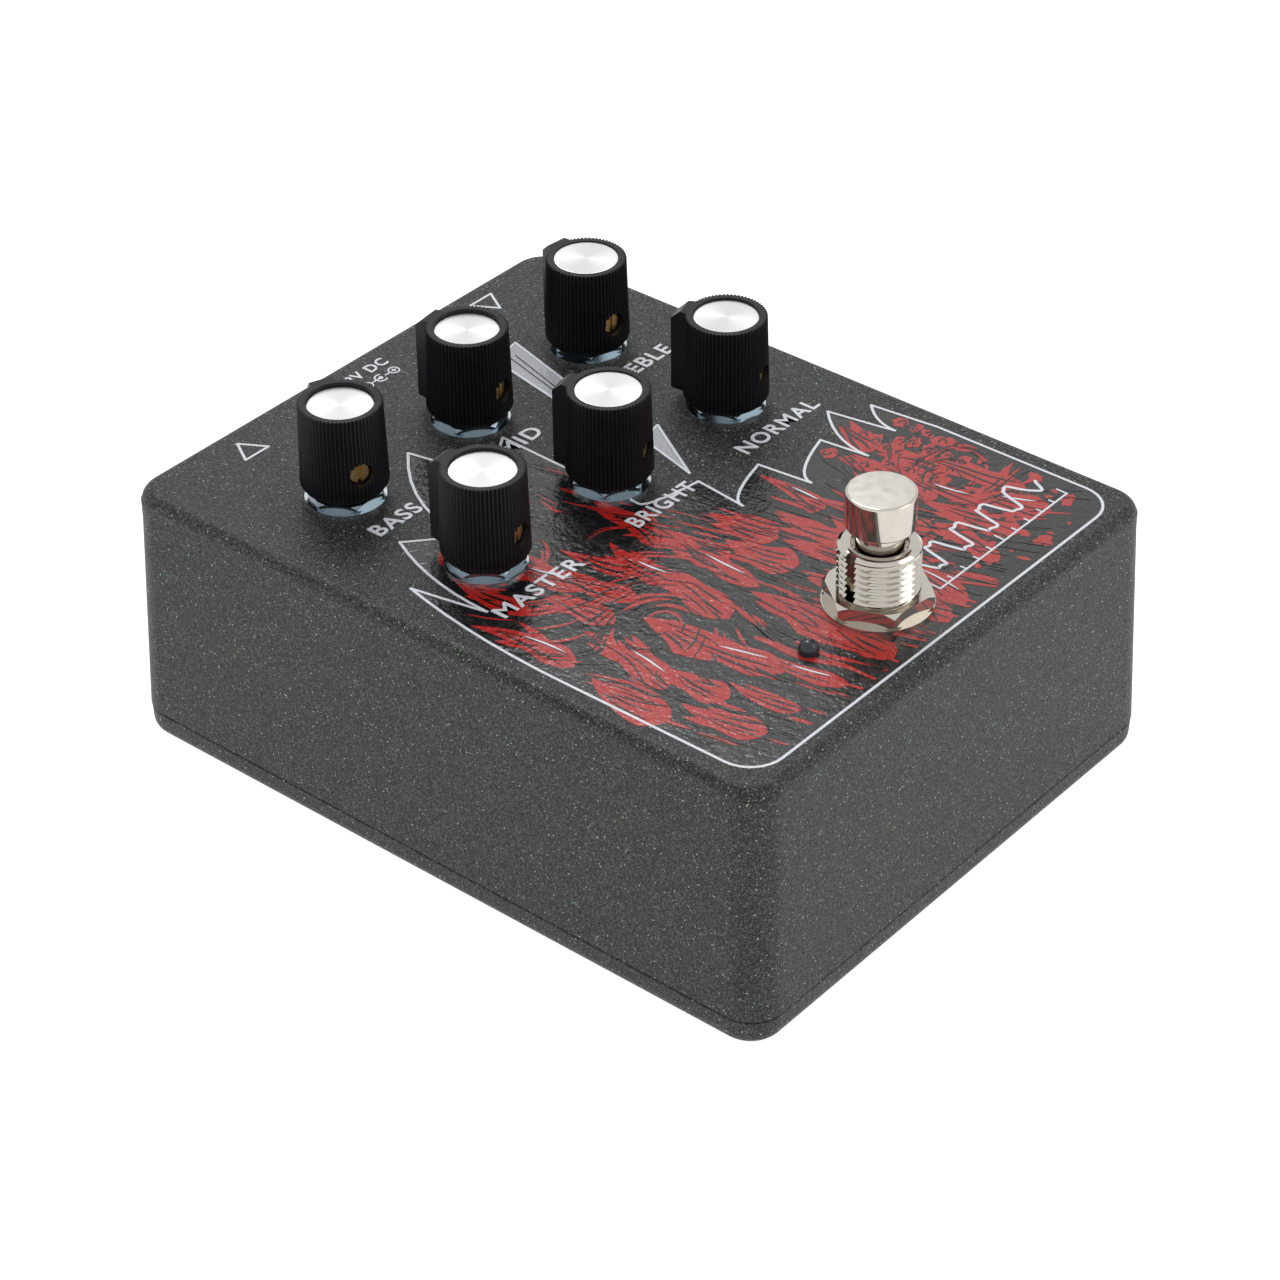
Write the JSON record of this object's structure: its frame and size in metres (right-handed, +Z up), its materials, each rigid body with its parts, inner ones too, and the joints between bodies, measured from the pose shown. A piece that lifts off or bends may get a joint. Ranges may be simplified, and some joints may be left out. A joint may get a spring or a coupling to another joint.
{
  "type": "guitar effects pedal",
  "caption": "Rectangular die-cast effects pedal with rotary controls, a latching-style footswitch, a small lamp, rear instrument jacks and a DC power socket.",
  "frame": {"origin": "centre of the box's footprint, on the face that it stands on", "axes": "+X to the player's right, +Y towards the rear wall that holds the sockets, +Z up"},
  "size_m": [0.094, 0.1237, 0.0615],
  "materials": {
    "body_coat": "die-cast aluminium under a matte charcoal powder coat with fine sparkle, glossy printed artwork on the panel",
    "cover_coat": "die-cast aluminium under a matte charcoal powder coat",
    "screw_steel": "black oxide",
    "board": "solder mask over glass-fibre laminate",
    "black_plastic": "moulded",
    "zinc": "bright zinc plate",
    "pot_case_steel": "pressed tinned steel",
    "wafer": "phenolic board",
    "pin_tin": "tinned",
    "switch_nickel": "bright warm nickel plate",
    "switch_body": "moulded blue",
    "spring_steel": "drawn wire",
    "lamp": "clear tinted resin",
    "jack_nickel": "nickel plate",
    "can_sleeve": "shrink sleeve",
    "film_box": "moulded box",
    "resistor_body": "lacquered",
    "knob_plastic": "satin black phenolic with fine flutes",
    "inlay_aluminium": "spun, radial sheen",
    "set_screw_brass": "turned",
    "shaft_aluminium": "turned"
  },
  "bodies": {
    "root": {"bottom_cover": "cover_coat", "circuit_board": "board", "cover_screws": "screw_steel", "dc_centre_pin": "pin_tin", "dc_jack_housing": "black_plastic", "dc_jack_nut": "black_plastic", "electrolytic_capacitors": "can_sleeve", "enclosure_body": "body_coat", "film_capacitors": "film_box", "header_strip": "black_plastic", "input_jack_bushing": "jack_nickel", "input_jack_housing": "black_plastic", "integrated_circuits": "black_plastic", "jack_nuts": "jack_nickel", "jack_washers": "jack_nickel", "led_leads": "pin_tin", "led_lens": "lamp", "output_jack_bushing": "jack_nickel", "output_jack_housing": "black_plastic", "pot_bushings": "zinc", "pot_cases": "pot_case_steel", "pot_nuts": "zinc", "pot_terminals": "pin_tin", "pot_wafers": "wafer", "pot_washers": "zinc", "resistors": "resistor_body", "socket_contacts": "pin_tin", "switch_board": "board", "switch_bushing": "switch_nickel", "switch_housing": "switch_body", "switch_inner_nut": "switch_nickel", "switch_nut": "switch_nickel", "switch_spring": "spring_steel", "switch_terminals": "pin_tin", "switch_washer": "switch_nickel"},
    "bass_control": {"knob_bass": "knob_plastic", "knob_inlay_bass": "inlay_aluminium", "knob_screw_bass": "set_screw_brass", "pot_shaft_bass": "shaft_aluminium"},
    "mid_control": {"knob_mid": "knob_plastic", "knob_inlay_mid": "inlay_aluminium", "knob_screw_mid": "set_screw_brass", "pot_shaft_mid": "shaft_aluminium"},
    "treble_control": {"knob_treble": "knob_plastic", "knob_inlay_treble": "inlay_aluminium", "knob_screw_treble": "set_screw_brass", "pot_shaft_treble": "shaft_aluminium"},
    "master_control": {"knob_master": "knob_plastic", "knob_inlay_master": "inlay_aluminium", "knob_screw_master": "set_screw_brass", "pot_shaft_master": "shaft_aluminium"},
    "bright_control": {"knob_bright": "knob_plastic", "knob_inlay_bright": "inlay_aluminium", "knob_screw_bright": "set_screw_brass", "pot_shaft_bright": "shaft_aluminium"},
    "normal_control": {"knob_normal": "knob_plastic", "knob_inlay_normal": "inlay_aluminium", "knob_screw_normal": "set_screw_brass", "pot_shaft_normal": "shaft_aluminium"},
    "footswitch": {"switch_button": "switch_nickel"}
  },
  "joints": [
    {"name": "bass_turn", "type": "hinge", "parent": "root", "child": "bass_control", "pos_m": [-0.027, 0.0323, 0.043], "axis": [0, 0, 1], "range_deg": [-129, 171]},
    {"name": "mid_turn", "type": "hinge", "parent": "root", "child": "mid_control", "pos_m": [0, 0.0323, 0.043], "axis": [0, 0, 1], "range_deg": [-158.3, 141.7]},
    {"name": "treble_turn", "type": "hinge", "parent": "root", "child": "treble_control", "pos_m": [0.027, 0.0323, 0.043], "axis": [0, 0, 1], "range_deg": [-143.8, 156.2]},
    {"name": "master_turn", "type": "hinge", "parent": "root", "child": "master_control", "pos_m": [-0.027, 0.0051, 0.043], "axis": [0, 0, 1], "range_deg": [-159.2, 140.8]},
    {"name": "bright_turn", "type": "hinge", "parent": "root", "child": "bright_control", "pos_m": [0, 0.0051, 0.043], "axis": [0, 0, 1], "range_deg": [-166, 134]},
    {"name": "normal_turn", "type": "hinge", "parent": "root", "child": "normal_control", "pos_m": [0.027, 0.0051, 0.043], "axis": [0, 0, 1], "range_deg": [-167.1, 132.9]},
    {"name": "footswitch_press", "type": "slide", "parent": "root", "child": "footswitch", "axis": [0, 0, 1], "range_m": [-0.0024, 0], "stiffness_N_per_m": 3000, "springref_m": 0.003, "deforming": ["switch_spring"]}
  ]
}
